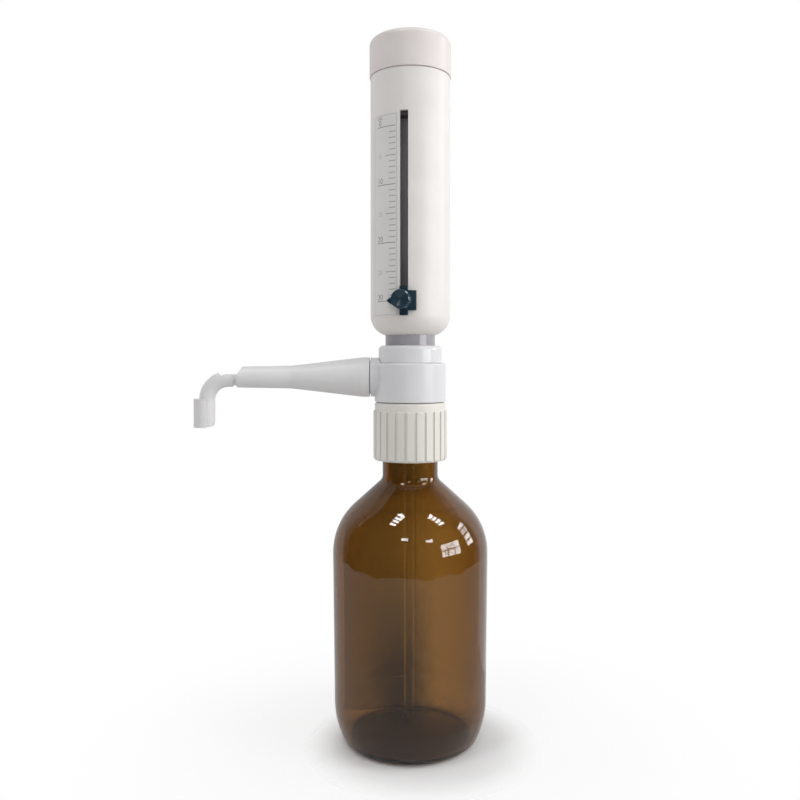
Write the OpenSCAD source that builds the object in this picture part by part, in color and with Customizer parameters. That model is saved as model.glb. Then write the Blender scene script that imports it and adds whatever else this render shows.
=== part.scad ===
/* [Bottle] */
// Outside diameter of the amber bottle
bottle_d = 79.9; // [76:0.1:86]
// Height of the bottle from its base to its mouth
bottle_h = 166; // [160:1:180]
// Height at which the side wall turns into the shoulder
shoulder_z = 96; // [86:1:98]
// Radius of the shoulder curve
shoulder_r = 32.8; // [28:0.2:36]
// Steepness of the shoulder where it runs up to the neck, in degrees from level
shoulder_angle = 48; // [44:1:52]
// Radius of the soft corner between shoulder and neck
neck_fillet = 4; // [2:0.5:6]
// Outside diameter of the neck
neck_d = 28.6; // [27:0.2:29]
// Outside diameter of the screw finish without its thread
finish_d = 29.6; // [29.2:0.1:30]
// Bore of the mouth
mouth_d = 22; // [19:0.5:23]
// Height of the screw finish
finish_h = 17; // [14:0.5:20]
// Outside diameter of the bead under the thread
bead_d = 31; // [30.4:0.1:31.2]
// Wall of the bottle
glass_t = 2.5; // [2:0.1:3]
// How much slimmer the wall is at the heel than at the shoulder, on the radius
wall_draft = 0.85; // [0:0.05:1.5]
// Height of the heel curve
heel_h = 20; // [16:1:24]
// Large radius of the heel curve
heel_r = 40; // [36:1:48]
// Small radius at the foot of the heel
foot_r = 5; // [4:0.5:7]
// Rise of the hollow under the base
punt_rise = 3; // [1:0.5:4]
// Diameter of the hollow under the base
punt_d = 52; // [40:1:56]

/* [Collar] */
// Diameter over the grip ribs
collar_d = 38.1; // [37.4:0.1:41]
// Height of the screw collar
collar_h = 29.5; // [27:0.5:32]
// Number of grip grooves
groove_count = 24; // [16:1:30]
// Width of a grip groove
groove_w = 1.5; // [1:0.1:2]
// Depth of a grip groove
groove_depth = 0.75; // [0.4:0.05:0.9]
// Height of the plain band above the ribs
collar_band_h = 4.2; // [3:0.2:6]
// Thickness of the collar's top wall
collar_top_t = 3; // [2:0.2:4]
// Chamfer at the collar's lower edge
collar_chamfer = 1.4; // [0.5:0.1:1.8]

/* [Valve block] */
// Diameter of the valve block
block_d = 36.8; // [36:0.2:40]
// Height of the valve block
block_h = 19.9; // [19.5:0.1:24]
// Diameter of the spigot that passes through the collar
spigot_d = 24; // [22:0.5:25]
// Thickness of the flange that the collar pulls down
retainer_t = 2; // [1.5:0.1:3]
// Diameter of that flange
retainer_d = 30; // [28:0.5:31]
// Thickness of the mouth gasket
gasket_t = 2; // [1:0.1:3]
// Height of the threaded upstand under the ring nut
upstand_h = 4.05; // [3.5:0.05:5]
// Outside diameter of that upstand
upstand_d = 29.4; // [28.6:0.1:29.8]
// Diameter of the ring nut
ring_nut_d = 32.7; // [32.2:0.1:36]
// Height of the ring nut
ring_nut_h = 9; // [8.4:0.1:11]
// Bore of the port between the two valves and the barrel
port_d = 5; // [3:0.2:5.6]
// Bore of the cross passage to the spout
passage_d = 3; // [2:0.2:3.2]
// Web between the cross passage and the floor of the barrel seat
floor_web = 2.3; // [1.6:0.1:2.8]
// Diameter of the air vent to the bottle
vent_d = 1.5; // [1:0.1:1.8]

/* [Barrel] */
// Bore of the glass barrel
bore_d = 21; // [20.8:0.05:21.2]
// Wall of the glass barrel
barrel_t = 1.3; // [1.1:0.05:1.35]
// Wall of the guard tube round the barrel
guard_t = 0.8; // [0.7:0.05:1]
// Thickness of the guard's foot flange
guard_flange_t = 1.9; // [1.4:0.1:2.2]
// Height of the guide ring at the top of the guard
guide_ring_h = 4; // [3:0.5:6]
// How far the barrel ends below the top of the guard
barrel_recess = 2; // [1:0.5:4]
// Thickness of the seal under the barrel
barrel_seal_t = 1.2; // [0.8:0.1:1.6]
// Height of the piston
piston_h = 16; // [14:0.5:18]
// Thickness of a piston seal
seal_t = 1.96; // [1.6:0.02:2.2]
// Diameter of the piston rod
rod_d = 8; // [7:0.2:9]

/* [Sleeve] */
// Largest volume of one stroke, in millilitres
full_volume = 30; // [24:0.5:32]
// Outside diameter of the sleeve
sleeve_d = 41; // [40.6:0.1:44]
// Wall of the sleeve
sleeve_t = 1.8; // [1.6:0.05:2]
// Radius of the sleeve's rounded foot
sleeve_foot_r = 10.5; // [9:0.5:12]
// Stretch of guard left bare between the ring nut and the sleeve
bare_guard_h = 5.4; // [3:0.2:8]
// Distance from the sleeve's foot to the slot
slot_foot = 9.25; // [9.05:0.05:12]
// Distance from the slot to the sleeve's shoulder
slot_head = 21.45; // [16:0.5:26]
// Width of the slot
slot_w = 4.2; // [3.8:0.1:5]
// Direction of the slot round the axis, in degrees from the +X axis
slot_azimuth = -99.5; // [-120:0.5:-60]
// Length of the cap's plug inside the sleeve
cap_plug_l = 8; // [5:0.5:10]
// Wall of that plug
cap_plug_t = 1.6; // [1.2:0.1:2.4]
// Diameter of the cap
cap_d = 42; // [41.8:0.1:46]
// Height of the cap
cap_h = 19.25; // [18:0.25:24]
// Rounding of the cap's top edge
cap_round = 3; // [1.5:0.5:5]
// Thickness of the cap's end wall
cap_top_t = 2.5; // [2:0.1:4]
// Diameter of the boss that holds the rod inside the cap
cap_boss_d = 14; // [12:0.5:18]
// Thickness of the scale panel
panel_t = 0.2; // [0.15:0.05:0.4]
// Angle that the scale panel covers
panel_sweep = 48; // [30:1:60]

/* [Pointer] */
// Height of the slider's tongue in the slot
tongue_h = 14.2; // [13:0.2:16]
// Height of the pointer's plate
plate_h = 9.8; // [8:0.2:11]
// Width of the plate from the slot's middle to its square end
plate_right = 6.3; // [5:0.1:7]
// Width of the plate from the slot's middle to its point
plate_left = 8.4; // [7.4:0.1:9.5]
// Thickness of the plate
plate_t = 1.8; // [1.4:0.1:2.4]
// Height of the stop inside the sleeve
stop_h = 9.8; // [8:0.2:11]
// Width of the stop inside the sleeve
stop_w = 9; // [8:0.2:11]
// Length of the plate's point
point_l = 7; // [5:0.5:7.5]
// Diameter of the clamp knob
knob_d = 9.2; // [8:0.1:10]
// Length of the clamp knob
knob_l = 9.6; // [8:0.1:12]
// Depth of the knob's hollow conical face
knob_cone = 1; // [0.5:0.1:1.5]
// Diameter of the clamp screw
clamp_screw_d = 3; // [2.6:0.1:3.4]

/* [Spout] */
// Height of the spout's axis above the underside of the valve block
spout_rise = 12.65; // [12.4:0.05:13.5]
// Diameter of the sheath at its root
sheath_root_d = 20.4; // [20:0.1:21]
// Diameter of the sheath where its cone ends
sheath_mid_d = 11.8; // [11.6:0.1:13]
// Diameter of the sheath at its tip
sheath_tip_d = 10.8; // [10.6:0.1:11.4]
// Distance from the axis to the sheath's root
sheath_root_x = 21; // [20.8:0.1:23]
// Length of the straight band at the root
sheath_band = 3.9; // [3:0.1:6]
// Distance from the axis to the end of the cone
sheath_mid_x = 61.4; // [58:0.2:66]
// Distance from the axis to the middle of the sheath's slanting tip
sheath_tip_x = 89.5; // [88:0.1:90]
// Wall of the sheath
sheath_t = 1.6; // [1.4:0.1:1.8]
// Drop of the delivery tube below the sheath's axis
tube_drop = 1; // [0.8:0.05:1]
// Outside diameter of the bent guard round the delivery tube
spout_guard_d = 8.2; // [7.8:0.1:8.2]
// Wall of the guard's spigot, which sits in the sheath
spigot_t = 0.75; // [0.6:0.05:0.8]
// Radius of the bend, at the tube's middle
bend_r = 10.9; // [10:0.1:13]
// Distance from the axis to the nozzle's middle
nozzle_x = 105.3; // [104:0.1:108]
// Height of the nozzle's mouth above the underside of the valve block
nozzle_drop = 13.4; // [10:0.2:18]
// Length of the shoe round the nozzle
shoe_l = 14.7; // [10:0.1:16]
// Radius of the shoe's outside
shoe_r = 5.4; // [5:0.1:6]
// How far the shoe's middle lies beyond the nozzle's middle
shoe_offset = 1.5; // [1:0.1:2]
// Length of the window in the top of the bent guard
window_l = 11.8; // [6:0.2:12]
// Bore of the delivery tube
delivery_bore = 3.4; // [2:0.2:3.4]
// Wall of the delivery tube
delivery_t = 0.8; // [0.6:0.05:0.8]

/* [Valves] */
// Diameter of the intake ball
intake_ball_d = 6; // [5.4:0.1:6.2]
// Diameter of the discharge ball
discharge_ball_d = 5; // [4.4:0.1:5.2]
// How far a ball lifts off its seat
ball_lift = 1.2; // [0.8:0.1:1.5]
// Diameter of the intake valve body
valve_body_d = 15; // [13:0.5:16]
// Bore of the valve seats
seat_d = 2.4; // [1.8:0.1:2.8]
// Outside diameter of the intake tube
intake_tube_d = 6; // [5:0.2:7]
// Bore of the intake tube
intake_tube_bore = 4; // [2.6:0.1:4]
// Gap between the intake tube and the base of the bottle
tube_foot_gap = 3; // [2:0.5:15]
// Slant of the intake tube's end, in degrees
tube_slant = 35; // [0:5:45]
// Diameter of the spring wire
spring_wire = 0.5; // [0.3:0.05:0.6]
// Turns of the spring
spring_turns = 7; // [5:1:9]

/* [Hidden] */
$fn = 96;

// Clearances
run = 0.1;         // radial, between faces that run on each other
fit = 0.05;        // radial, between faces that are pushed or screwed together
flat = 0.05;       // between flat faces that turn or lift off
seam = 0.3;        // between parts that meet at a visible line
stop_gap = 0.3;    // left at the end of a travel
reach = 200;       // longer than any cut needs
over = 1;          // how far a cut runs past a face

// Heights, from the base of the bottle upwards
z_gasket = bottle_h + flat;
z_head = z_gasket + gasket_t + flat;
z_collar_wall = z_head + retainer_t + flat;
z_collar_top = z_collar_wall + collar_top_t;
z_collar = z_collar_top - collar_h;
z_block = z_collar_top + seam;
z_block_top = z_block + block_h;
z_spout = z_block + spout_rise;
z_outlet = z_spout - tube_drop;
z_floor = z_outlet + passage_d / 2 + floor_web;
z_upstand = z_block_top + upstand_h;
z_flange = z_upstand + flat;
z_nut_top = z_block_top + ring_nut_h;
z_sleeve = z_nut_top + bare_guard_h;

// Stroke of the piston for the largest volume
bore_r = bore_d / 2;
stroke = full_volume * 1000 / (PI * bore_r * bore_r);

// Barrel, guard and sleeve radii
barrel_r = bore_r + barrel_t;
guard_in_r = barrel_r + 0.25;
guard_r = guard_in_r + guard_t;
lip_r = guard_r + run;
sleeve_r = sleeve_d / 2;
sleeve_in_r = sleeve_r - sleeve_t;
guide_r = sleeve_in_r - run;

// Slot, pointer and sleeve heights
slot_end = 0.2;
slot_l = stroke + tongue_h + 2 * slot_end;
z_slot = z_sleeve + slot_foot;
z_pointer = z_slot + slot_end + tongue_h / 2;
z_stop_top = z_pointer + stop_h / 2;
z_guide = z_stop_top + stroke + stop_gap;
z_guard_top = z_guide + guide_ring_h;
z_barrel = z_floor + barrel_seal_t + flat;
z_barrel_top = z_guard_top - barrel_recess;
z_sleeve_top = z_slot + slot_l + slot_head;
z_cap = z_sleeve_top + seam;
z_cap_top = z_cap + cap_h;
z_ceiling = z_cap_top - cap_top_t;

// Piston, its socket and the rod
piston_r = bore_r - fit;
z_piston = z_floor + stop_gap;
z_piston_top = z_piston + piston_h;
rod_r = rod_d / 2;
rod_neck_r = rod_r - 1;
rod_neck_l = 2;
rod_head_r = rod_r + 0.2;
rod_head_h = 4.2;
z_socket_top = z_piston_top - rod_neck_l;
boss_l = 13.5;
z_boss = z_ceiling - boss_l;
rod_seat = 3;
rod_nut_h = 4;
rod_nut_r = rod_r + 3.2;

// Spout
spout_guard_r = spout_guard_d / 2;
delivery_r = delivery_bore / 2 + delivery_t;
guard_bore_r = delivery_r + run;
guard_spigot_r = guard_bore_r + spigot_t;
bend_x = nozzle_x - bend_r;
z_bend = z_outlet - bend_r;
z_nozzle = z_block - nozzle_drop;
boss_r = sheath_root_d / 2 - 0.1;
boss_x = sheath_root_x - 0.6;
sheath_seat_r = sheath_root_d / 2 - sheath_t;
sheath_seat_l = 5.6;
sheath_slant = 5.5;

// Discharge valve, along the spout
union_x = 12;
union_r = 5;
union_hex_x = sheath_root_x + sheath_seat_l;
union_hex_t = 3.4;
nipple_r = delivery_r + 1.7;
nipple_l = 10;
union_end_x = union_hex_x + union_hex_t + nipple_l;
discharge_bore_r = discharge_ball_d / 2 + 0.5;
discharge_seat_x = 18;
discharge_apex_x = discharge_seat_x - seat_d / 2;
discharge_ball_x = discharge_apex_x + (discharge_ball_d / 2 + fit) * sqrt(2);
tube_start_x = union_end_x - 6;
spring_x = discharge_ball_x + discharge_ball_d / 2 + fit;
spring_l = tube_start_x - spring_x - fit;

// Intake valve, below the block
valve_body_r = valve_body_d / 2;
valve_seat_h = 10;
z_valve_top = z_head + valve_seat_h - flat;
z_valve = z_head - 8;
barb_l = 10;
barb_r = intake_tube_bore / 2 - fit;
intake_bore_r = intake_ball_d / 2 + 0.4;
z_intake_seat = z_head - 2;
z_intake_apex = z_intake_seat - seat_d / 2;
z_intake_ball = z_intake_apex + (intake_ball_d / 2 + fit) * sqrt(2);
z_ball_stop = z_intake_ball + intake_ball_d / 2 + ball_lift + stop_gap;

// Collar
collar_r = collar_d / 2;
collar_core_r = collar_r - groove_depth;
collar_bore_r = 16;

// Bottle: centres and joins of its curves
body_r = bottle_d / 2;
heel_body_r = body_r - wall_draft;
shoulder_x = body_r - shoulder_r;
heel_x = heel_body_r - heel_r;
foot_x = heel_x + sqrt(pow(heel_r - foot_r, 2) - pow(heel_h - foot_r, 2));
heel_join = asin((heel_h - foot_r) / (heel_r - foot_r));

// A point on a circle in the profile plane
function on_circle(x, z, r, angle) = [x + r * cos(angle), z + r * sin(angle)];

// A length to the nearest thousandth, so that curves that share a line share it exactly
function snap(v) = round(v * 1000) / 1000;

// Half profile of a disc with rounded top and bottom edges
module disc_profile(r, h, top = 0, foot = 0) {
    translate([0, foot]) square([r, h - top - foot]);
    if (top > 0) {
        translate([0, h - top]) square([r - top, top]);
        translate([r - top, h - top]) intersection() {
            circle(top);
            square(top);
        }
    }
    if (foot > 0) {
        square([r - foot, foot]);
        translate([r - foot, foot]) intersection() {
            circle(foot);
            translate([0, -foot]) square(foot);
        }
    }
}

// A disc with rounded edges, standing on z
module disc(r, z, h, top = 0, foot = 0) {
    translate([0, 0, z]) rotate_extrude() disc_profile(r, h, top, foot);
}

// A plain cylinder from height z
module rod(r, z, h) {
    translate([0, 0, z]) cylinder(r = r, h = h);
}

// A ring from height z
module ring(r_out, r_in, z, h) {
    difference() {
        rod(r_out, z, h);
        rod(r_in, z - over, h + 2 * over);
    }
}

// A cylinder or cone along the spout, from distance x outwards
module along(r, x, l, r_end = -1, z = z_outlet) {
    translate([-x, 0, z]) rotate([0, -90, 0])
        cylinder(r1 = r, r2 = r_end < 0 ? r : r_end, h = l);
}

// Turns what faces +X at the axis to face the way the slot does
module at_slot(z) {
    translate([0, 0, z]) rotate([0, 0, slot_azimuth]) children();
}

// A rod that points out of the slot, from radius x
module outward(r, x, l, r_end = -1) {
    translate([x, 0, 0]) rotate([0, 90, 0])
        cylinder(r1 = r, r2 = r_end < 0 ? r : r_end, h = l);
}

// Half profile of the bottle, t inside its outer surface
module bottle_profile(t) {
    wall_r = shoulder_r - t;
    top_z = snap(shoulder_z + wall_r * sin(shoulder_angle));
    top = [shoulder_x + sqrt(pow(wall_r, 2) - pow(top_z - shoulder_z, 2)), top_z];
    neck_r = neck_d / 2 - t;
    bend = neck_fillet + t;
    bend_x = neck_r + bend;
    bend_z = snap(top[1] + (bend - cos(shoulder_angle) * (bend_x - top[0])) / sin(shoulder_angle));
    join = on_circle(bend_x, bend_z, -bend, shoulder_angle);
    foot_z = snap(on_circle(foot_x, foot_r, foot_r - t, -heel_join)[1]);
    // side wall
    polygon([[0, heel_h], [heel_body_r - t, heel_h], [body_r - t, shoulder_z], [0, shoulder_z]]);
    // heel: a large curve down to a small one
    intersection() {
        translate([heel_x, heel_h]) circle(heel_r - t, $fn = 240);
        translate([0, foot_z]) square([reach, heel_h + over - foot_z]);
    }
    intersection() {
        translate([foot_x, foot_r]) circle(foot_r - t);
        translate([foot_x - over, t - over]) square([reach, foot_z - t + over]);
    }
    translate([0, t]) square([foot_x, foot_z + over - t]);
    // shoulder
    intersection() {
        translate([shoulder_x, shoulder_z]) circle(wall_r, $fn = 240);
        translate([0, shoulder_z - over]) square([reach, top_z + over - shoulder_z]);
    }
    translate([0, shoulder_z]) square([top[0] - over, top_z - shoulder_z + over]);
    // straight run up to the neck, with its soft corner
    difference() {
        polygon([[0, top[1]], top, join, [bend_x, bend_z], [0, bend_z]]);
        translate([bend_x, bend_z]) circle(bend);
    }
    translate([0, bend_z - over]) square([neck_r, bottle_h - finish_h + over - bend_z]);
}

module bottle() {
    punt_r = (pow(punt_d / 2, 2) + punt_rise * punt_rise) / (2 * punt_rise);
    punt_z = punt_rise - punt_r;
    bead_h = 3;
    z_finish = bottle_h - finish_h;
    color([0.45, 0.27, 0.08, 0.6])
    rotate_extrude() difference() {
        union() {
            bottle_profile(0);
            translate([0, z_finish]) disc_profile(finish_d / 2, finish_h, 1.2, 0);
            translate([0, z_finish]) disc_profile(bead_d / 2, bead_h, 1, 1);
        }
        difference() {
            union() {
                bottle_profile(glass_t);
                translate([0, z_finish - over]) square([mouth_d / 2, finish_h + 2 * over]);
            }
            translate([0, punt_z]) circle(punt_r + glass_t, $fn = 360);
        }
        translate([0, punt_z]) circle(punt_r, $fn = 360);
    }
}

module mouth_gasket() {
    color("gainsboro") ring(finish_d / 2, mouth_d / 2, z_gasket, gasket_t);
}

module valve_block() {
    vent_x = spigot_d / 2 - 2.2;
    z_vent = z_head + valve_seat_h - 2;
    color([0.86, 0.87, 0.89])
    difference() {
        union() {
            // body and spout boss, cut away round the ring nut
            difference() {
                union() {
                    disc(block_d / 2, z_block, block_h, 1, 0.6);
                    along(boss_r, 0, boss_x, z = z_spout);
                    along(sheath_seat_r - fit, 0, sheath_root_x + sheath_seat_l - flat, z = z_spout);
                }
                rod(ring_nut_d / 2 + seam, z_block_top, reach);
            }
            rod(spigot_d / 2, z_head, z_block - z_head + over);
            rod(upstand_d / 2, z_block_top - over, upstand_h + over);
        }
        // seat of the glass barrel
        rod(barrel_r + fit, z_floor, reach);
        // port, intake valve seat
        rod(port_d / 2, z_head, z_floor - z_head + over);
        rod(valve_body_r + fit, z_head - over, valve_seat_h + over);
        // cross passage and seat of the discharge valve
        along(passage_d / 2, 0, union_x + over);
        along(union_r + fit, union_x, reach);
        // vent, from the back of the block down into the bottle
        rod_at_vent(vent_x, z_head - over, z_vent - z_head + over);
        translate([vent_x, 0, z_vent]) rotate([0, 90, 0]) cylinder(d = vent_d, h = block_d);
    }
}

module rod_at_vent(x, z, h) {
    translate([x, 0, z]) cylinder(d = vent_d, h = h);
}

module collar_retainer() {
    color("whitesmoke")
    ring(retainer_d / 2, spigot_d / 2 + fit, z_head, retainer_t);
}

module screw_collar() {
    band_z = collar_h - collar_band_h;
    color([0.93, 0.91, 0.86])
    difference() {
        union() {
            disc(collar_core_r, z_collar, collar_h, 1.2, 0);
            intersection() {
                translate([0, 0, z_collar]) linear_extrude(band_z) difference() {
                    circle(collar_r, $fn = 180);
                    for (i = [0 : groove_count - 1])
                        rotate(360 * (i + 0.5) / groove_count)
                            translate([collar_core_r, -groove_w / 2]) square([over * 2, groove_w]);
                }
                disc(collar_r, z_collar, band_z, 0.5, collar_chamfer);
            }
        }
        rod(collar_bore_r, z_collar - over, z_collar_wall - z_collar + over);
        rod(spigot_d / 2 + seam, z_collar, collar_h + over);
        // lead-in at the lower edge
        translate([0, 0, z_collar - 0.01]) cylinder(r1 = collar_bore_r + 1, r2 = collar_bore_r, h = 1);
    }
}

module intake_valve_body() {
    cone_h = intake_bore_r - seat_d / 2;
    hex_h = 4;
    color([0.9, 0.9, 0.88])
    difference() {
        union() {
            rod(valve_body_r, z_valve + hex_h, z_valve_top - z_valve - hex_h);
            translate([0, 0, z_valve]) cylinder(r = valve_body_r - 0.4, h = hex_h, $fn = 6);
            rod(barb_r, z_valve - barb_l, barb_l + over);
        }
        rod(seat_d / 2, z_valve - barb_l - over, reach);
        translate([0, 0, z_intake_seat]) cylinder(r1 = seat_d / 2, r2 = intake_bore_r, h = cone_h);
        rod(intake_bore_r, z_intake_seat + cone_h, reach);
    }
}

module intake_ball() {
    color("silver") translate([0, 0, z_intake_ball]) sphere(d = intake_ball_d);
}

module intake_ball_stop() {
    web = 1;
    leg = z_valve_top - z_ball_stop;
    color("white")
    difference() {
        rod(intake_bore_r - fit, z_ball_stop, leg);
        rod(seat_d / 2, z_ball_stop - over, leg + 2 * over);
        for (turn = [0, 90])
            rotate(turn) translate([-reach / 2, -web / 2, z_ball_stop - over])
                cube([reach, web, over + leg / 2]);
    }
}

module intake_tube() {
    tube_r = intake_tube_d / 2;
    z_foot = punt_rise + glass_t + tube_foot_gap;
    color([0.95, 0.97, 1, 0.4])
    difference() {
        ring(tube_r, intake_tube_bore / 2, z_foot, z_valve - flat - z_foot);
        // slanting end, so that the tube can't seal itself on the base
        translate([0, -tube_r, z_foot]) rotate([tube_slant, 0, 0])
            translate([-reach / 2, -reach, -reach]) cube([reach, 2 * reach, reach]);
    }
}

module barrel_seal() {
    color("white") ring(barrel_r - fit, bore_r + fit, z_floor, barrel_seal_t);
}

module glass_barrel() {
    color([0.8, 0.9, 0.95, 0.35]) ring(barrel_r, bore_r, z_barrel, z_barrel_top - z_barrel);
}

module barrel_guard() {
    color([0.42, 0.47, 0.53])
    difference() {
        union() {
            rod(guard_r, z_flange, z_guard_top - z_flange);
            rod(upstand_d / 2, z_flange, guard_flange_t);
        }
        rod(guard_in_r, z_flange - over, reach);
    }
}

module guide_ring() {
    color("ghostwhite")
    difference() {
        disc(guide_r, z_guide, guide_ring_h, 0.6, 0.6);
        rod(guard_r + fit, z_guide - over, reach);
    }
}

module ring_nut() {
    lip_z = z_flange + guard_flange_t + flat;
    color([0.84, 0.85, 0.87])
    difference() {
        disc(ring_nut_d / 2, z_block_top + flat, ring_nut_h - flat, 2.2, 0.4);
        rod(upstand_d / 2 + fit, z_block_top - over, lip_z - z_block_top + over);
        rod(guard_r + run, z_block_top, reach);
    }
}

module discharge_valve_body() {
    cone_l = discharge_bore_r - seat_d / 2;
    color([0.9, 0.9, 0.88])
    difference() {
        union() {
            along(union_r, union_x + flat, union_hex_x - union_x);
            translate([-union_hex_x, 0, z_outlet]) rotate([0, -90, 0])
                cylinder(r = union_r + 1.6, h = union_hex_t, $fn = 6);
            along(nipple_r, union_hex_x, union_hex_t + nipple_l);
        }
        along(seat_d / 2, 0, reach);
        along(seat_d / 2, discharge_seat_x, cone_l, discharge_bore_r);
        along(discharge_bore_r, discharge_seat_x + cone_l, reach);
    }
}

module discharge_ball() {
    color("silver") translate([-discharge_ball_x, 0, z_outlet]) sphere(d = discharge_ball_d);
}

// A coil spring along the spout: one tube swept round a helix
module discharge_spring() {
    sides = 8;
    per_turn = 14;
    steps = spring_turns * per_turn;
    wire_r = spring_wire / 2;
    coil_r = discharge_ball_d / 2 - wire_r - 0.2;
    pitch_l = spring_l - spring_wire;
    points = [for (i = [0 : steps]) for (j = [0 : sides - 1])
        let (
            turn = 360 * i / per_turn,
            side = 360 * j / sides,
            r = coil_r + wire_r * cos(side),
            x = wire_r + pitch_l * i / steps + wire_r * sin(side)
        )
        [-x, r * cos(turn), r * sin(turn)]];
    faces = concat(
        [[for (j = [0 : sides - 1]) j]],
        [for (i = [0 : steps - 1]) for (j = [0 : sides - 1])
            [i * sides + j, (i + 1) * sides + j, (i + 1) * sides + (j + 1) % sides,
             i * sides + (j + 1) % sides]],
        [[for (j = [sides - 1 : -1 : 0]) steps * sides + j]]);
    color("lightsteelblue")
    translate([-spring_x, 0, z_outlet]) polyhedron(points, faces);
}

// Path of the delivery tube: out, round the bend and down
module delivery_run(r, start_x, z_end) {
    along(r, start_x, bend_x - start_x);
    translate([-bend_x, 0, z_bend]) rotate([90, 0, 0])
        rotate([0, 0, 90]) rotate_extrude(angle = 90, $fn = 120)
            translate([bend_r, 0]) circle(r, $fn = 48);
    translate([-nozzle_x, 0, z_end]) cylinder(r = r, h = z_bend - z_end);
}

module discharge_tube() {
    color([0.95, 0.96, 0.97])
    difference() {
        delivery_run(delivery_r, tube_start_x, z_nozzle + 0.4);
        delivery_run(delivery_bore / 2, tube_start_x - over, z_nozzle - over);
    }
}

module spout_sheath() {
    root_r = sheath_root_d / 2;
    mid_r = sheath_mid_d / 2;
    tip_r = sheath_tip_d / 2;
    cone_x = sheath_root_x + sheath_band;
    seat_end_x = sheath_root_x + sheath_seat_l;
    color([0.82, 0.83, 0.84])
    difference() {
        union() {
            along(root_r, sheath_root_x, sheath_band, z = z_spout);
            along(root_r, cone_x, sheath_mid_x - cone_x, mid_r, z = z_spout);
            along(mid_r, sheath_mid_x, sheath_tip_x - sheath_mid_x, tip_r, z = z_spout);
        }
        along(sheath_seat_r, sheath_root_x - over, sheath_seat_l + over, z = z_spout);
        along(sheath_seat_r, seat_end_x, sheath_mid_x - seat_end_x, mid_r - sheath_t, z = z_spout);
        along(guard_spigot_r + fit, sheath_mid_x - sheath_band, reach);
        beyond_tip(sheath_tip_x);
    }
}

// Space beyond a slanting end, further out below than above
module beyond_tip(tip_x) {
    translate([-tip_x, 0, z_spout]) rotate([0, atan(sheath_slant / sheath_tip_d), 0])
        translate([-reach, -reach / 2, -reach / 2]) cube(reach);
}

module spout_guard() {
    window_x = sheath_tip_x - 2;
    color([0.83, 0.84, 0.85])
    difference() {
        union() {
            intersection() {
                delivery_run(spout_guard_r, sheath_mid_x, z_nozzle + 0.8);
                beyond_tip(sheath_tip_x + flat);
            }
            along(guard_spigot_r, sheath_mid_x, sheath_tip_x + 3 - sheath_mid_x);
        }
        delivery_run(guard_bore_r, sheath_mid_x - over, z_nozzle - over);
        // window over the bend
        translate([-window_x - window_l, -spout_guard_r, z_outlet + 1.3])
            cube([window_l, spout_guard_d, spout_guard_r]);
    }
}

module nozzle_shoe() {
    shoe_x = nozzle_x + shoe_offset;
    edge_x = nozzle_x - 0.7;
    color([0.8, 0.81, 0.83])
    difference() {
        translate([-shoe_x, 0, z_nozzle]) cylinder(r = shoe_r, h = shoe_l);
        translate([-nozzle_x, 0, z_nozzle - over]) cylinder(r = spout_guard_r + fit, h = reach);
        translate([-edge_x, -reach / 2, z_nozzle - over]) cube(reach);
    }
}

module piston() {
    z_socket = z_socket_top - rod_head_h - 2 * fit;
    color("white")
    difference() {
        disc(piston_r, z_piston, piston_h, 0.5, 0.5);
        for (z = seal_heights()) difference() {
            rod(bore_r + over, z, seal_t + 2 * run);
            rod(bore_r - seal_t - fit, z - over, seal_t + 3 * over);
        }
        rod(rod_head_r + run, z_socket, z_socket_top - z_socket);
        rod(rod_neck_r + run, z_socket, reach);
    }
}

// Heights of the two seal grooves on the piston
function seal_heights() = [z_piston + 3, z_piston + piston_h - 3 - seal_t];

module piston_seals() {
    color([0.25, 0.25, 0.27])
    for (z = seal_heights())
        translate([0, 0, z + run + seal_t / 2]) rotate_extrude()
            translate([bore_r - run / 5 - seal_t / 2, 0]) circle(d = seal_t, $fn = 32);
}

module piston_rod() {
    z_rod = z_piston_top + stop_gap;
    z_head_top = z_socket_top - fit;
    color([0.75, 0.77, 0.8])
    union() {
        rod(rod_head_r, z_head_top - rod_head_h, rod_head_h);
        rod(rod_neck_r, z_head_top - over, z_rod - z_head_top + 2 * over);
        rod(rod_r, z_rod, z_ceiling - rod_seat - z_rod);
    }
}

module rod_lock_nut() {
    color([0.7, 0.71, 0.73])
    difference() {
        translate([0, 0, z_boss - rod_nut_h - flat]) cylinder(r = rod_nut_r, h = rod_nut_h, $fn = 6);
        rod(rod_r + fit, 0, 2 * reach);
    }
}

// Half profile of the sleeve's outside, t inside its surface, below its shoulder
module sleeve_profile(t) {
    centre_x = sleeve_r - sleeve_foot_r;
    centre_z = sqrt(pow(sleeve_foot_r, 2) - pow(lip_r - centre_x, 2));
    r = sleeve_foot_r - t;
    square_z = z_sleeve_top - z_sleeve - centre_z;
    translate([0, centre_z]) square([sleeve_r - t, square_z]);
    intersection() {
        translate([centre_x, centre_z]) circle(r);
        translate([0, -over]) square([reach, centre_z + over]);
    }
    translate([0, centre_z - r]) square([centre_x, r]);
}

module sleeve() {
    color([0.96, 0.96, 0.97])
    difference() {
        translate([0, 0, z_sleeve]) rotate_extrude() difference() {
            sleeve_profile(0);
            sleeve_profile(sleeve_t);
            translate([0, -reach / 2]) square([lip_r, reach]);
            translate([0, z_sleeve_top - z_sleeve - over]) square([sleeve_in_r, reach]);
        }
        // slot with square ends
        at_slot(z_slot) translate([0, -slot_w / 2, 0]) cube([reach, slot_w, slot_l]);
    }
}

module scale_panel() {
    gap_angle = 8.5;
    color("snow")
    at_slot(z_slot)
        rotate([0, 0, -gap_angle - panel_sweep]) rotate_extrude(angle = panel_sweep, $fn = 180)
            translate([sleeve_r + 0.02, 0]) square([panel_t, slot_l - 1]);
}

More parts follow.
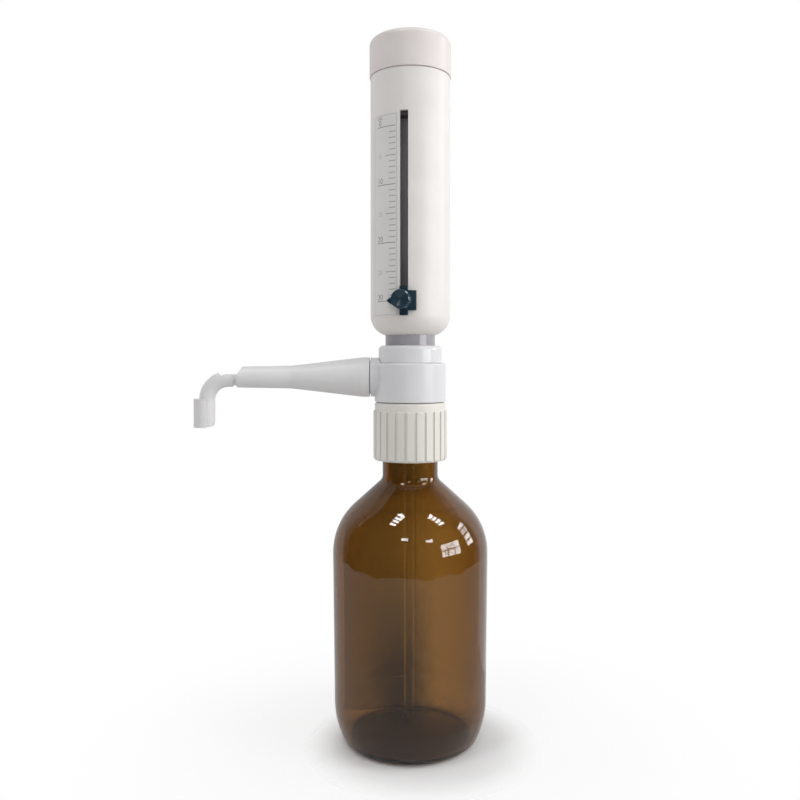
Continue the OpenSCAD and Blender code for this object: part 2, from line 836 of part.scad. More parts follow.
module top_cap() {
    plug_r = sleeve_in_r - fit;
    hollow_r = plug_r - cap_plug_t;
    z_plug = z_sleeve_top - cap_plug_l;
    color([0.95, 0.94, 0.93])
    difference() {
        union() {
            disc(cap_d / 2, z_cap, cap_h, cap_round, 0.4);
            rod(plug_r, z_plug, z_cap + over - z_plug);
        }
        difference() {
            rod(hollow_r, z_plug - over, z_ceiling - z_plug + over);
            rod(cap_boss_d / 2, z_boss, boss_l + over);
        }
        rod(rod_r + fit, z_boss - over, z_ceiling - rod_seat + fit - z_boss + over);
    }
}

module pointer_slider() {
    face_r = sleeve_r + seam;
    color([0.12, 0.22, 0.34])
    difference() {
        at_slot(z_pointer) union() {
            intersection() {
                rotate([0, 0, -60]) rotate_extrude(angle = 120, $fn = 180)
                    translate([face_r, -plate_h]) square([plate_t, 2 * plate_h]);
                rotate([90, 0, 90]) linear_extrude(reach) plate_outline();
            }
            translate([sleeve_in_r + fit, -slot_w / 2 + run, -tongue_h / 2])
                cube([face_r + over - sleeve_in_r, slot_w - 2 * run, tongue_h]);
        }
        at_slot(z_pointer) outward(clamp_screw_d / 2 + fit, 0, reach);
    }
}

// Outline of the pointer's plate: a square end to the right, a point to the left
module plate_outline() {
    half = plate_h / 2;
    shoulder = plate_left - point_l;
    polygon([[plate_right, -half], [plate_right, half], [-shoulder, half],
        [-plate_left, 0.4], [-plate_left, -0.4], [-shoulder, -half]]);
}

module pointer_stop() {
    color([0.2, 0.2, 0.22])
    at_slot(z_pointer) difference() {
        intersection() {
            translate([guard_r, -stop_w / 2, -stop_h / 2]) cube([sleeve_r - guard_r, stop_w, stop_h]);
            translate([0, 0, -stop_h]) difference() {
                cylinder(r = sleeve_in_r - seam, h = 2 * stop_h);
                translate([0, 0, -over]) cylinder(r = guard_r + 2 * seam, h = 2 * stop_h + 2 * over);
            }
        }
        outward(clamp_screw_d / 2 + fit, 0, reach);
    }
}

module clamp_screw() {
    screw_x = guard_r + 3 * seam;
    knob_x = sleeve_r + seam + plate_t + seam;
    color("silver")
    at_slot(z_pointer) outward(clamp_screw_d / 2, screw_x, knob_x + knob_l / 2 - screw_x);
}

module clamp_knob() {
    knob_x = sleeve_r + seam + plate_t + seam;
    neck_l = 1.6;
    rim = 0.5;
    color([0.1, 0.2, 0.32])
    at_slot(z_pointer) difference() {
        union() {
            outward(knob_d / 2 - 1.2, knob_x, neck_l + over);
            outward(knob_d / 2, knob_x + neck_l, knob_l - neck_l - rim);
            outward(knob_d / 2, knob_x + knob_l - rim, rim, knob_d / 2 - rim);
        }
        outward(0.4, knob_x + knob_l - knob_cone, knob_cone + 0.01, knob_d / 2 - 2 * rim);
        outward(clamp_screw_d / 2 + fit, 0, knob_x + knob_l / 2 + fit);
    }
}

bottle();
mouth_gasket();
valve_block();
collar_retainer();
screw_collar();
intake_valve_body();
intake_ball();
intake_ball_stop();
intake_tube();
barrel_seal();
glass_barrel();
barrel_guard();
guide_ring();
ring_nut();
discharge_valve_body();
discharge_ball();
discharge_spring();
discharge_tube();
spout_sheath();
spout_guard();
nozzle_shoe();
piston();
piston_seals();
piston_rod();
rod_lock_nut();
sleeve();
scale_panel();
top_cap();
pointer_slider();
pointer_stop();
clamp_screw();
clamp_knob();
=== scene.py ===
# %% [markdown]
# # A bottle top dispenser on its amber bottle
#
# A dispenser like this is screwed on a reagent bottle. Pulling the white sleeve up draws
# liquid through the intake tube into a glass barrel, and pushing it down sends the same
# volume out through the spout on the left. This lesson takes the finished assembly and
# gives every part its surface: pale plastics, amber glass, printing and light.

# %% Load the assembly
import math

import bmesh
import bpy
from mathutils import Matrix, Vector


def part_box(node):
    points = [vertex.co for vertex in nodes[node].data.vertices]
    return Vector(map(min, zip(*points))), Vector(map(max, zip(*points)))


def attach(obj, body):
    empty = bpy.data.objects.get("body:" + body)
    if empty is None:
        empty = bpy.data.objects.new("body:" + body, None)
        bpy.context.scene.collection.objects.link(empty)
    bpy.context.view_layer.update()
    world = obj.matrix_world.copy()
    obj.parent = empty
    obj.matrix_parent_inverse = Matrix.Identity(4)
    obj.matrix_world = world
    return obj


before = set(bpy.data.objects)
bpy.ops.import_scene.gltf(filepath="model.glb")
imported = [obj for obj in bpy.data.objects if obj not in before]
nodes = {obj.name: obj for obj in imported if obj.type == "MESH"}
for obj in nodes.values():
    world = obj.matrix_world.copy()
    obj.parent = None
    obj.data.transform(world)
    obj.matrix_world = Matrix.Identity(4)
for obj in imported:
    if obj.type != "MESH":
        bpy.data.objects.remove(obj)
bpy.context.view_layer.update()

# %% [markdown]
# ## A small tool box
#
# Every finish is built the same way: a noise drives a small change of colour, another one
# a small change of gloss, and a fine grain gives the surface its bump. A few helpers keep
# the later cells short. Lengths are in metres, and MM turns millimetres into them.

# %% Helpers for shader nodes and objects
MM = 0.001


def add(tree, kind, **values):
    """Adds a shader node and sets its input sockets by name."""
    made = tree.nodes.new(kind)
    for name, value in values.items():
        made.inputs[name.replace("_", " ")].default_value = value
    return made


def ramp(tree, source, low, high):
    """Turns a noise into a blend between two colours, steeper than the noise itself."""
    made = tree.nodes.new("ShaderNodeValToRGB")
    for end, place, colour in zip(made.color_ramp.elements, (0.35, 0.65), (low, high)):
        end.position, end.color = place, (*colour, 1)
    tree.links.new(source, made.inputs[0])
    return made.outputs[0]


def spread(tree, source, low, high):
    """Maps a 0 to 1 noise onto a range of numbers."""
    made = add(tree, "ShaderNodeMapRange", To_Min=low, To_Max=high)
    tree.links.new(source, made.inputs["Value"])
    return made.outputs[0]


def ease(tree, source, none, full, share):
    """Rises softly from 0, where the source is none, to share, where it is full."""
    made = add(tree, "ShaderNodeMapRange", From_Min=none, From_Max=full, To_Max=share)
    made.interpolation_type = "SMOOTHSTEP"
    tree.links.new(source, made.inputs["Value"])
    return made.outputs[0]


def noise(tree, coords, scale, detail=3.0):
    """A noise in object space; the scale counts features per metre."""
    made = add(tree, "ShaderNodeTexNoise", Scale=scale, Detail=detail)
    tree.links.new(coords, made.inputs["Vector"])
    return made.outputs["Fac"]


def bump(tree, height, shader, strength, distance):
    """Lets a height pattern tilt the surface normal."""
    made = add(tree, "ShaderNodeBump", Strength=strength, Distance=distance)
    tree.links.new(height, made.inputs["Height"])
    tree.links.new(made.outputs["Normal"], shader.inputs["Normal"])


def start_material(name):
    """An empty principled material with coordinates that follow the part."""
    made = bpy.data.materials.new(name)
    made.use_nodes = True
    tree = made.node_tree
    coords = tree.nodes.new("ShaderNodeTexCoord").outputs["Object"]
    return made, tree, tree.nodes["Principled BSDF"], coords


def stand(name, mesh):
    """Turns finished mesh data into a named object in the scene."""
    data = bpy.data.meshes.new(name)
    mesh.to_mesh(data)
    mesh.free()
    made = bpy.data.objects.new(name, data)
    bpy.context.scene.collection.objects.link(made)
    return made


print("helpers ready")

# %% [markdown]
# ## Moulded plastics
#
# Polypropylene leaves the mould with a soft satin skin: almost one colour, with a faint
# cloudiness and a grain of a few hundredths of a millimetre. One recipe serves all the
# plastics, and only colour, gloss and grain differ between them.

# %% A recipe for moulded plastic
def plastic(name, low, high, gloss, grain=0.12, soft=0.0, coat=0.0):
    """A moulded plastic between two tones; gloss is its lowest and highest roughness."""
    made, tree, shader, coords = start_material(name)
    tree.links.new(ramp(tree, noise(tree, coords, 55, 4), low, high), shader.inputs["Base Color"])
    tree.links.new(spread(tree, noise(tree, coords, 140, 2), *gloss), shader.inputs["Roughness"])
    bump(tree, noise(tree, coords, 5200, 2), shader, grain, 0.04 * MM)
    shader.inputs["IOR"].default_value = 1.49
    shader.inputs["Specular IOR Level"].default_value = 0.22
    shader.inputs["Subsurface Weight"].default_value = soft
    shader.inputs["Subsurface Scale"].default_value = 0.001
    shader.inputs["Subsurface Radius"].default_value = (1.0, 0.95, 0.85)
    shader.inputs["Coat Weight"].default_value = coat
    shader.inputs["Coat Roughness"].default_value = 0.12
    return made


print("plastic recipe ready")

# %% [markdown]
# ## The plastics and seals of the dispenser
#
# Every row is one moulding: its two tones, its lowest and highest roughness, and what
# sets it apart. The white parts let a little light in, the block, the guard and the knob
# have a polished skin, and the rubber ring has a coarse grain.

# %% Mix the plastics and seals
recipes = {
    "white_plastic": ("satin_white", (0.815, 0.78, 0.757), (0.845, 0.81, 0.787),
                      (0.34, 0.44), {"soft": 0.1}),
    "cap_plastic": ("warm_white", (0.775, 0.72, 0.705), (0.805, 0.75, 0.735),
                    (0.30, 0.40), {"soft": 0.1}),
    "cream_plastic": ("warm_cream", (0.80, 0.775, 0.72), (0.83, 0.805, 0.755),
                      (0.38, 0.50), {"grain": 0.2}),
    "block_plastic": ("cool_grey_white", (0.765, 0.76, 0.775), (0.795, 0.79, 0.805),
                      (0.20, 0.28), {"coat": 0.12}),
    "pale_grey_plastic": ("pale_grey", (0.79, 0.78, 0.78), (0.82, 0.81, 0.81),
                          (0.30, 0.40), {}),
    "slate_plastic": ("slate_grey", (0.37, 0.355, 0.385), (0.43, 0.415, 0.445),
                      (0.16, 0.24), {"coat": 0.2}),
    "navy_plastic": ("navy_teal", (0.016, 0.040, 0.060), (0.026, 0.058, 0.082),
                     (0.22, 0.32), {"coat": 0.4}),
    "scale_film": ("scale_film_grey", (0.765, 0.755, 0.735), (0.79, 0.78, 0.76),
                   (0.28, 0.34), {"grain": 0.05}),
    "white_seal": ("soft_white_seal", (0.78, 0.78, 0.76), (0.82, 0.82, 0.80),
                   (0.45, 0.55), {"soft": 0.15}),
    "dark_seal": ("dark_rubber", (0.015, 0.015, 0.016), (0.026, 0.026, 0.028),
                  (0.55, 0.70), {"grain": 0.35}),
}
finish = {slot: plastic(name, low, high, gloss, **more)
          for slot, (name, low, high, gloss, more) in recipes.items()}
print(len(finish), "plastics and seals")

# %% [markdown]
# ## Metal parts
#
# The clamp screw and the spring are turned and drawn steel, and the piston rod is a
# drawn aluminium bar. The drawing leaves fine lines along each part, which a noise
# stretched in one direction gives.

# %% Steel and aluminium
def metal(name, low, high, gloss, stretch):
    """A bright metal with fine lines; stretch squeezes the noise along one axis."""
    made, tree, shader, coords = start_material(name)
    mapping = tree.nodes.new("ShaderNodeMapping")
    mapping.inputs["Scale"].default_value = stretch
    tree.links.new(coords, mapping.inputs["Vector"])
    lines = noise(tree, mapping.outputs[0], 2500, 3)
    tree.links.new(ramp(tree, lines, low, high), shader.inputs["Base Color"])
    tree.links.new(spread(tree, lines, *gloss), shader.inputs["Roughness"])
    bump(tree, lines, shader, 0.15, 0.03 * MM)
    shader.inputs["Metallic"].default_value = 1.0
    return made


finish["steel"] = metal("bright_steel", (0.52, 0.52, 0.53), (0.62, 0.62, 0.63),
                        (0.22, 0.34), (1, 0.1, 1))
finish["rod_aluminium"] = metal("drawn_aluminium", (0.70, 0.71, 0.72), (0.80, 0.81, 0.82),
                                (0.28, 0.40), (1, 1, 0.04))
print("metals:", finish["steel"].name, finish["rod_aluminium"].name)

# %% [markdown]
# ## Glass and clear tube
#
# The bottle is amber glass. Its colour comes from iron and sulphur in the melt, so the
# light loses blue with every millimetre of wall: thick places such as the base and the
# edges look nearly black, and the thin shoulder glows golden. That is an absorption in
# the volume, and the skin itself stays clear, with the slight waviness of blown glass.
# The intake tube is a thin clear resin that hardly bends the light, so it barely shows
# in the bottle.

# %% Amber and clear glass
def clear(name, tint, gloss, ior, ripple):
    """A see-through material with a faint waviness."""
    made, tree, shader, coords = start_material(name)
    shader.inputs["Base Color"].default_value = (*tint, 1)
    shader.inputs["Transmission Weight"].default_value = 1.0
    shader.inputs["IOR"].default_value = ior
    tree.links.new(spread(tree, noise(tree, coords, 35, 2), *gloss), shader.inputs["Roughness"])
    bump(tree, noise(tree, coords, 90, 1), shader, ripple, 0.4 * MM)
    return made


def absorb(material, colour, density):
    """Fills the volume behind the skin with coloured glass."""
    tree = material.node_tree
    made = add(tree, "ShaderNodeVolumeAbsorption", Color=(*colour, 1), Density=density)
    tree.links.new(made.outputs[0], tree.nodes["Material Output"].inputs["Volume"])


finish["amber_glass"] = clear("amber_bottle_glass", (1, 1, 1), (0.0, 0.02), 1.52, 0.10)
absorb(finish["amber_glass"], (0.635, 0.46, 0.08), 860)
finish["clear_glass"] = clear("barrel_glass", (0.97, 0.99, 0.985), (0.0, 0.01), 1.47, 0.02)
finish["ball_glass"] = clear("ball_glass_clear", (0.90, 0.95, 0.93), (0.0, 0.02), 1.60, 0.02)
finish["clear_tube"] = clear("clear_tube_resin", (0.96, 0.97, 0.97), (0.10, 0.16), 1.34, 0.05)
intake_finish = clear("intake_tube_resin", (0.98, 0.985, 0.985), (0.03, 0.06), 1.06, 0.02)
print("see-through finishes ready, the last is", intake_finish.name)

# %% [markdown]
# ## Who gets which finish
#
# Each part comes with the name of the material it is moulded, turned or blown from, so
# the finishes go on by that name. Two parts get their own: the guide ring, whose
# near-black colour paints the shade inside the slot, and the intake tube.

# %% Put the finishes on the parts
for name, part in nodes.items():
    for place in part.material_slots:
        place.material = finish[place.material.name.split(".")[0]]
# Painted shade: the guide ring's near-black purple colour stands for the shade inside the slot.
guide_finish = plastic("guide_ring_painted_shade", (0.064, 0.052, 0.060), (0.088, 0.070, 0.080),
                       (0.35, 0.45))
nodes["guide_ring"].material_slots[0].material = guide_finish
nodes["intake_tube"].material_slots[0].material = intake_finish
print(len(nodes), "parts have a finish")

# %% [markdown]
# ## Drawing on the sleeve
#
# The scale is printed on a film that is wrapped round the sleeve, left of the slot. The
# print is flat work bent round a cylinder, so a helper lays small patches at an angle
# from the slot and at a height, just above the film.

# %% Patches on the sleeve
SLOT = math.radians(-99.5)          # direction of the slot round the sleeve
FILM_R = 0.02073                    # radius of the printed face
ZERO_Z, STROKE = 0.31091, 0.08661   # height of the zero mark, and the travel for 30 mL


def on_sleeve(degrees, z):
    """A point on the film; degrees count from the slot, to the right when facing it."""
    turn = SLOT + math.radians(degrees)
    return Vector((FILM_R * math.cos(turn), FILM_R * math.sin(turn), z))


def patch(mesh, left, right, low, high):
    """Adds a printed bar between two angles and two heights, outside face outwards."""
    steps = max(1, round(abs(right - left) / 3))
    edge = [left + (right - left) * i / steps for i in range(steps + 1)]
    lower = [mesh.verts.new(on_sleeve(a, low)) for a in edge]
    upper = [mesh.verts.new(on_sleeve(a, high)) for a in edge]
    for i in range(steps):
        mesh.faces.new((lower[i], lower[i + 1], upper[i + 1], upper[i]))


def piece(name, mesh, material, body):
    """Makes a piece of its own that rides on a body."""
    made = stand(name, mesh)
    made.data.materials.append(material)
    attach(made, body)
    return made


def mark_z(volume):
    """The height of the mark for a volume in millilitres."""
    return ZERO_Z - STROKE * volume / 30


print("one millilitre is", round(STROKE / 30 / MM, 2), "mm of travel")

# %% [markdown]
# ## Printing ink
#
# The ink is a matt grey that soaks a little into the film, so it is never quite even:
# a fine noise thins it here and there. The marks and the tens are darker than the rest.

# %% Two strengths of ink
def ink(name, low, high):
    """A matt printing ink, slightly uneven."""
    made, tree, shader, coords = start_material(name)
    tree.links.new(ramp(tree, noise(tree, coords, 2600, 3), low, high),
                   shader.inputs["Base Color"])
    tree.links.new(spread(tree, noise(tree, coords, 900, 2), 0.5, 0.7),
                   shader.inputs["Roughness"])
    return made


mid_ink = ink("scale_ink_grey", (0.24, 0.24, 0.235), (0.34, 0.34, 0.33))
pale_ink = ink("scale_ink_pale", (0.42, 0.42, 0.41), (0.52, 0.52, 0.51))
print("inks:", mid_ink.name, pale_ink.name)

# %% [markdown]
# ## The scale
#
# Thirty steps of one millilitre run down from zero. Every tenth is a long line, every
# fifth a middling one. The zero stands at the top because the stop travels down with
# the pointer: the lower the pointer sits, the further the sleeve can rise.

# %% Division marks and border
MARK_RIGHT = -11.9                              # degrees from the slot, for all the marks
FRAME_LEFT, FRAME_RIGHT, FRAME_W = -50.6, -9.9, 0.5   # the border and its width, in degrees

marks = bmesh.new()
for volume in range(31):
    reach = -43.0 if volume % 10 == 0 else -27.5 if volume % 5 == 0 else -22.0
    half = (0.19 if volume % 10 == 0 else 0.16) * MM
    patch(marks, reach, MARK_RIGHT, mark_z(volume) - half, mark_z(volume) + half)
scale_marks = piece("scale_marks", marks, mid_ink, "sleeve")

border = bmesh.new()
film_low, film_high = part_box("scale_panel")
low, high = film_low.z + 0.5 * MM, film_high.z - 0.5 * MM
patch(border, FRAME_LEFT, FRAME_LEFT + FRAME_W, low, high)
patch(border, FRAME_RIGHT - FRAME_W, FRAME_RIGHT, low, high)
for edge in (low, high):
    patch(border, FRAME_LEFT, FRAME_RIGHT, edge - 0.1 * MM, edge + 0.1 * MM)
piece("scale_border", border, pale_ink, "sleeve")
print("marks:", len(scale_marks.data.polygons), "patches")

# %% [markdown]
# ## The numbers
#
# The figures are set flat in a plain upright letter and then wrapped: each corner of a
# figure keeps its height and turns its width into an angle.

# %% Figures wrapped on the film
FIGURES_AT = -37.5      # degrees from the slot to the middle of the figures
LETTER_SHARE = 0.69     # height of a figure as a share of the letter's size


def figures(name, words, z, height, material):
    """Sets a short word flat, centres it, and bends it round the sleeve."""
    curve = bpy.data.curves.new(name, "FONT")
    curve.body, curve.size = words, height / LETTER_SHARE
    curve.align_x, curve.align_y = "CENTER", "BOTTOM_BASELINE"
    curve.resolution_u = 6
    flat = bpy.data.objects.new(name + "_flat", curve)
    bpy.context.scene.collection.objects.link(flat)
    bpy.context.view_layer.update()
    data = bpy.data.meshes.new_from_object(flat)
    bpy.data.objects.remove(flat)
    mesh = bmesh.new()
    mesh.from_mesh(data)
    bpy.data.meshes.remove(data)
    for corner in mesh.verts:
        turn = FIGURES_AT + math.degrees(corner.co.x / FILM_R)
        corner.co = on_sleeve(turn, z + corner.co.y)
    bmesh.ops.recalc_face_normals(mesh, faces=mesh.faces)
    return piece(name, mesh, material, "sleeve")


for volume in (0, 10, 20, 30):
    figures(f"figure_{volume}", str(volume), mark_z(volume) + 0.75 * MM, 2.6 * MM, mid_ink)
for volume in (5, 15, 25):
    figures(f"figure_{volume}", str(volume), mark_z(volume) - 1.1 * MM, 2.2 * MM, pale_ink)
figures("figure_unit", "mL", ZERO_Z + 3.7 * MM, 1.9 * MM, mid_ink)
print("figures set")

# %% [markdown]
# ## The thread on the bottle
#
# The collar screws on a moulded glass thread. It is a rounded ridge that winds one and
# a half times round the finish and dies away at both ends, so that the collar can start.

# %% Wind the glass thread
STEPS = 72         # steps in one turn
RUN_OUT = 0.12     # share of the thread that each end takes to die away


def thread(name, radius, depth, low, turns, pitch, width, material, body):
    """A helical ridge that fades in and out; radius is its root."""
    mesh = bmesh.new()
    steps, rows = int(turns * STEPS), []
    shape = ((0, -width), (0.75, -0.5 * width), (1, 0), (0.75, 0.5 * width), (0, width))
    for i in range(steps + 1):
        turn, share = math.tau * i / STEPS, i / steps
        fade = min(1.0, share / RUN_OUT, (1 - share) / RUN_OUT)
        crest = depth * (0.06 + 0.94 * math.sin(fade * math.pi / 2) ** 2)
        z = low + pitch * i / STEPS
        rows.append([mesh.verts.new(((radius + crest * out) * math.cos(turn),
                                     (radius + crest * out) * math.sin(turn), z + up))
                     for out, up in shape])
    for one, two in zip(rows, rows[1:]):
        for k in range(len(one)):
            after = (k + 1) % len(one)
            mesh.faces.new((one[k], one[after], two[after], two[k]))
    mesh.faces.new(rows[0])
    mesh.faces.new(list(reversed(rows[-1])))
    bmesh.ops.recalc_face_normals(mesh, faces=mesh.faces)
    for face in mesh.faces:
        face.smooth = True
    return piece(name, mesh, material, body)


bottle_thread = thread("bottle_thread", radius=14.83 * MM, depth=0.85 * MM, low=153.2 * MM,
                       turns=1.6, pitch=4.0 * MM, width=1.0 * MM,
                       material=finish["amber_glass"], body="bottle")
print("thread:", len(bottle_thread.data.polygons), "faces")

# %% [markdown]
# ## Floor and backdrop
#
# A pale sheet lies under the bottle. It thins out close round the foot and is gone a few
# bottle widths away, so there is no horizon line, while the bottle keeps a soft shadow.

# %% Lay the floor
sheet = bmesh.new()
bmesh.ops.create_circle(sheet, cap_ends=True, segments=96, radius=3.0)
floor = stand("floor", sheet)
floor.location.z = -0.2 * MM

paper, tree, shader, coords = start_material("pale_paper")
tree.links.new(ramp(tree, noise(tree, coords, 3, 2), (0.925,) * 3, (0.94,) * 3),
               shader.inputs["Base Color"])
shader.inputs["Roughness"].default_value = 0.85
shader.inputs["Specular IOR Level"].default_value = 0.1
bump(tree, noise(tree, coords, 700, 2), shader, 0.03, 0.3 * MM)
floor.data.materials.append(paper)
print("floor laid")

# %% [markdown]
# ## The edge of the floor
#
# A floor that just ends draws a line behind the bottle. Here the paper is blended with
# clear air by the distance from a spot near the foot. One short step and one long one
# add up, so the shadow is firm close to the glass and has a wide faint rim.

# %% Thin the floor out
SPOT = (6 * MM, -8 * MM, 0.0)
SHORT, LONG = (34 * MM, 62 * MM, 0.78), (50 * MM, 190 * MM, 0.22)   # from, to, share

far = add(tree, "ShaderNodeVectorMath")
far.operation = "DISTANCE"
tree.links.new(coords, far.inputs[0])
far.inputs[1].default_value = SPOT
thin = add(tree, "ShaderNodeMath")
for k, step in enumerate((SHORT, LONG)):
    tree.links.new(ease(tree, far.outputs["Value"], *step), thin.inputs[k])
blend = add(tree, "ShaderNodeMixShader")
tree.links.new(thin.outputs[0], blend.inputs[0])
tree.links.new(shader.outputs[0], blend.inputs[1])
tree.links.new(add(tree, "ShaderNodeBsdfTransparent").outputs[0], blend.inputs[2])
tree.links.new(blend.outputs[0], tree.nodes["Material Output"].inputs["Surface"])
print("floor gone at", round(LONG[1] / MM), "mm from the spot")

# %% [markdown]
# ## The room
#
# White objects need a big soft source from one side and a dimmer room on the other, or
# they lose their roundness. The room is a middle grey for matt and glossy surfaces. The
# eye, and whatever the eye sees through glass, meets plain white.

# %% The room and the backdrop
ROOM_GREY = 0.56

world = bpy.data.worlds.new("white_room")
bpy.context.scene.world = world
world.use_nodes = True
tree = world.node_tree
backdrop = tree.nodes["Background"]
rays = tree.nodes.new("ShaderNodeLightPath")
seen = add(tree, "ShaderNodeMath")
seen.operation = "MAXIMUM"
tree.links.new(rays.outputs["Is Camera Ray"], seen.inputs[0])
tree.links.new(rays.outputs["Is Transmission Ray"], seen.inputs[1])
tone = add(tree, "ShaderNodeMix")
tone.data_type = "RGBA"
tone.inputs["A"].default_value = (ROOM_GREY, ROOM_GREY, ROOM_GREY, 1)
tone.inputs["B"].default_value = (1, 1, 1, 1)
tree.links.new(seen.outputs[0], tone.inputs["Factor"])
tree.links.new(tone.outputs["Result"], backdrop.inputs["Color"])
backdrop.inputs["Strength"].default_value = 1.0
print("room ready")

# %% [markdown]
# ## Black cloths
#
# Glass has no look of its own: it shows the room. A studio that wants a dark bottle
# hangs black cloths round it, and the cloth in front is one of those; the small ones
# behind and under the bottle are painted shadow and shade. Each cloth meets one kind of
# ray only: it darkens either what gloss shows or what is seen through the glass. It
# takes no light from the matt surfaces and throws no shadow.

# %% Helpers for the cloths
RAYS = ("camera", "diffuse", "glossy", "transmission", "shadow", "volume_scatter")


def felt(name, edges):
    """A dull black; every edge thins it along one axis, from none to its full share."""
    made, tree, shader, coords = start_material(name)
    tree.links.new(ramp(tree, noise(tree, coords, 400, 3), (0.01,) * 3, (0.02,) * 3),
                   shader.inputs["Base Color"])
    shader.inputs["Roughness"].default_value = 1.0
    parts = tree.nodes.new("ShaderNodeSeparateXYZ")
    tree.links.new(coords, parts.inputs[0])
    cover = None
    for axis, none, full, share in edges:
        both = tree.nodes.new("ShaderNodeMath")
        both.operation = "MULTIPLY"
        both.inputs[1].default_value = 1.0
        tree.links.new(ease(tree, parts.outputs[axis], none, full, share), both.inputs[0])
        if cover:
            tree.links.new(cover, both.inputs[1])
        cover = both.outputs[0]
    tree.links.new(cover, shader.inputs["Alpha"])
    return made


def dark_sheet(name, outline, seen_by, *edges):
    """A black cloth over rows of corners, which only one kind of ray meets."""
    mesh = bmesh.new()
    rows = [[mesh.verts.new(corner) for corner in row] for row in outline]
    for one, two in zip(rows, rows[1:]):
        for k in range(len(one) - 1):
            mesh.faces.new((one[k], one[k + 1], two[k + 1], two[k]))
    made = stand(name, mesh)
    for ray in RAYS:
        setattr(made, "visible_" + ray, ray == seen_by)
    made.data.materials.append(felt(name.replace("sheet", "felt"), edges))
    return made


print("cloth helpers ready")

# %% [markdown]
# ## The cloth in front
#
# A big curtain stands in front of the bottle and closes above it. The shoulder reflects
# it and stays deep in colour. Under its hem the body reflects the grey room, so the hem
# draws a soft arc across the bottle. The hem climbs to both sides, and the ends of the
# curtain thin out.

# %% Hang the curtain
CURTAIN_R, HEM_Z, HEM_RISE = 1.9, -0.460, 0.07

rim = []
for i in range(-14, 15):
    degrees = 130 * i / 14
    turn = math.radians(degrees)
    rim.append((CURTAIN_R * math.sin(turn), -CURTAIN_R * math.cos(turn),
                HEM_Z + HEM_RISE * (degrees / 110) ** 2))
rows = [rim] + [[(x * share, y * share, z) for x, y, _ in rim]
                for share, z in ((1.0, 1.2), (0.84, 1.8), (0.53, 2.2), (0.05, 2.4))]
dark_sheet("front_sheet", rows, "glossy", ("Y", 1.2, 0.3, 1.0))
print("curtain of", len(rim) - 1, "panels")

# %% [markdown]
# ## Painted shadow behind and under the bottle
#
# Rays that have passed the glass meet four small black sheets that paint the bottle's
# own shadow and shade: a painted shadow low behind the middle, a thinner one behind the
# left half, painted shade behind the neck and a round painted shadow under the foot. Two
# of them turn forward under the heel, so that no bright line is left there.

# %% Hang the sheets of painted shadow and shade
def upright(left, right, *profile):
    """Rows of two corners: the profile is a list of (y, z), from low to high."""
    return [[(x, y, z) for x in (left, right)] for y, z in profile]


# Painted shadow: this black sheet stands for the bottle's shadow on the floor behind it, seen low
# through the middle of the glass.
dark_sheet("smudge_sheet", upright(-0.036, 0.020, (0.030, -0.0001), (0.042, -0.0001),
                                   (0.042, 0.095)), "transmission",
           ("X", -0.036, -0.008, 1.0), ("X", 0.019, -0.004, 1.0), ("Z", 0.090, 0.0, 0.9))
# Painted shadow: this half-strength black sheet darkens the left half of what is seen through the
# glass, for the bottle's shadow falling behind and to the left.
dark_sheet("veil_sheet", upright(-0.046, 0.024, (0.030, -0.00015), (0.044, -0.00015),
                                 (0.044, 0.19)), "transmission",
           ("X", 0.022, -0.012, 0.5))
# Painted shadow: a round black sheet under the foot stands for the dark shadow beneath the
# bottle, seen through its base.
FOOT_R = 0.032
rows = [[(side * FOOT_R * math.cos(math.radians(t)), FOOT_R * math.sin(math.radians(t)),
          -0.00005) for side in (-1, 1)] for t in range(-85, 90, 10)]
dark_sheet("base_sheet", rows, "transmission", ("Z", -0.01, -0.001, 0.45))
# Painted shade: a black sheet behind the neck darkens the neck as it is seen through the glass.
dark_sheet("neck_sheet", upright(-0.03, 0.03, (0.046, 0.116), (0.046, 0.150)),
           "transmission", ("Z", 0.116, 0.127, 0.6), ("X", 0.030, 0.000, 1.0))
print("small cloths hung")

# %% [markdown]
# ## Lamps
#
# The lamps come in two sorts: some are only seen in reflections, and the others are
# hidden from reflections and light the matt surfaces. So the highlights on the glass
# and the light on the plastics can be set one by one. A plain lamp is a rectangle, and
# a window is a grid of them.

# %% Helpers for the lamps
def softbox(name, place, aim, size, watts, hidden):
    """A rectangular area light that points at a spot; hidden lists rays that miss it."""
    lamp = bpy.data.lights.new(name, "AREA")
    lamp.shape, (lamp.size, lamp.size_y) = "RECTANGLE", size
    lamp.energy = watts
    made = bpy.data.objects.new(name, lamp)
    made.location = place
    made.rotation_euler = (Vector(aim) - Vector(place)).to_track_quat("-Z", "Y").to_euler()
    bpy.context.scene.collection.objects.link(made)
    for ray in ("camera", *hidden):
        setattr(made, "visible_" + ray, False)


def panes(name, place, aim, size, grid, watts, hidden, bar=0.04):
    """A window: a grid of softboxes in one plane, with bars between them."""
    middle = Vector(place)
    turn = (Vector(aim) - middle).to_track_quat("-Z", "Y")
    wide, tall = ((side - bar * (count - 1)) / count for side, count in zip(size, grid))
    for i in range(grid[0]):
        for j in range(grid[1]):
            across = (i - (grid[0] - 1) / 2) * (wide + bar)
            up = (j - (grid[1] - 1) / 2) * (tall + bar)
            spot = middle + turn @ Vector((across, up, 0))
            softbox(f"{name}_{i}_{j}", spot, spot + turn @ Vector((0, 0, -1)), (wide, tall),
                    watts / grid[0] / grid[1], hidden)


print("lamp helpers ready")

# %% [markdown]
# ## What the gloss shows
#
# Glass and polished plastic mirror the lamps as sharp shapes. The shoulder shows a
# window with bars and a taller one further round, and two barred ceiling lights and two
# small lamps above it. A big dim card brightens the right edge of the bottle.

# %% Lamps that only reflections show
SHOULDER, LOW_SLEEVE, MID = (0, 0, 0.105), (0, 0, 0.2), (0, 0, 0.12)
GLOSS_ONLY = ("diffuse", "transmission")

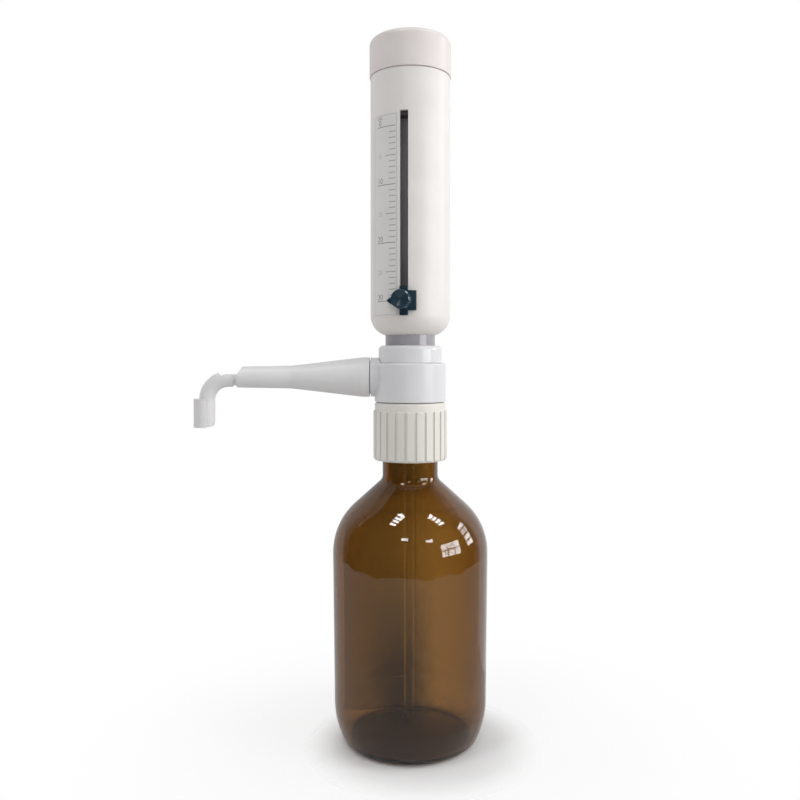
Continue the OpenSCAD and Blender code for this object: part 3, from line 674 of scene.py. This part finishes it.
for name, place, aim, size, grid, watts in (
        ("window_right", (1.32, -0.70, 0.44), SHOULDER, (0.86, 0.52), (3, 2), 15),
        ("window_far_right", (1.40, 0.27, 0.62), SHOULDER, (0.36, 0.70), (1, 4), 7),
        ("ceiling_left", (-0.34, -0.34, 1.25), MID, (0.20, 0.46), (1, 4), 4.5),
        ("ceiling_right", (0.67, -0.20, 1.25), MID, (0.20, 0.46), (1, 4), 4.5)):
    panes(name, place, aim, size, grid, watts, GLOSS_ONLY)
softbox("lamp_left", (-0.23, -1.19, 1.00), MID, (0.26, 0.12), 1.5, GLOSS_ONLY)
softbox("lamp_right", (0.66, -1.10, 0.89), MID, (0.26, 0.12), 1.5, GLOSS_ONLY)
softbox("card_right", (0.80, 1.28, 0.30), (0, 0, 0.1), (1.7, 1.8), 2.5, GLOSS_ONLY)
print("reflected lamps hung")

# %% [markdown]
# ## The light on the plastics
#
# White plastic needs a broad light from the right and a weaker one that catches its left
# edge. Most of these lamps stand where the windows and the ceiling lights are. All are
# hidden from gloss, so they leave no hot spots.

# %% Lamps that light the plastics
for name, place, aim, size, watts, hidden in (
        ("soft_window", (1.32, -0.70, 0.44), SHOULDER, (0.66, 0.36), 5.5,
         ("glossy", "transmission")),
        ("soft_far", (1.40, 0.27, 0.62), SHOULDER, (0.30, 0.50), 2.6, ("glossy",)),
        ("soft_right", (1.37, -0.50, 0.85), LOW_SLEEVE, (0.95, 0.95), 5, ("glossy",)),
        ("edge_left", (-1.4, 0.35, 0.4), LOW_SLEEVE, (0.8, 1.2), 2.5, ("glossy",)),
        ("soft_ceiling_left", (-0.34, -0.34, 1.25), MID, (0.14, 0.30), 1.6, ("glossy",)),
        ("soft_ceiling_right", (0.67, -0.20, 1.25), MID, (0.14, 0.30), 1.6, ("glossy",))):
    softbox(name, place, aim, size, watts, hidden)
print("lights hung")

# %% [markdown]
# ## Camera
#
# The eye is level with the gap between the sleeve and the ring nut, so the cap is seen
# slightly from below and the bottle from above. It looks down by half a degree, and a
# small shift of the lens brings the foot into the frame without leaning the uprights.

# %% Place the camera
LOOK_DOWN = 0.57    # degrees below level

lens = bpy.data.cameras.new("camera")
lens.sensor_width, lens.lens = 36.0, 36.60
lens.shift_y = -0.040
camera = bpy.data.objects.new("camera", lens)
camera.location = (-0.0053, -0.4216, 0.195)
camera.rotation_euler = (math.radians(90 - LOOK_DOWN), 0, 0)
lens.clip_start, lens.clip_end = 0.01, 20
bpy.context.scene.collection.objects.link(camera)
bpy.context.scene.camera = camera
bpy.context.scene.view_settings.view_transform = "Standard"
print("camera at", tuple(round(v, 3) for v in camera.location))
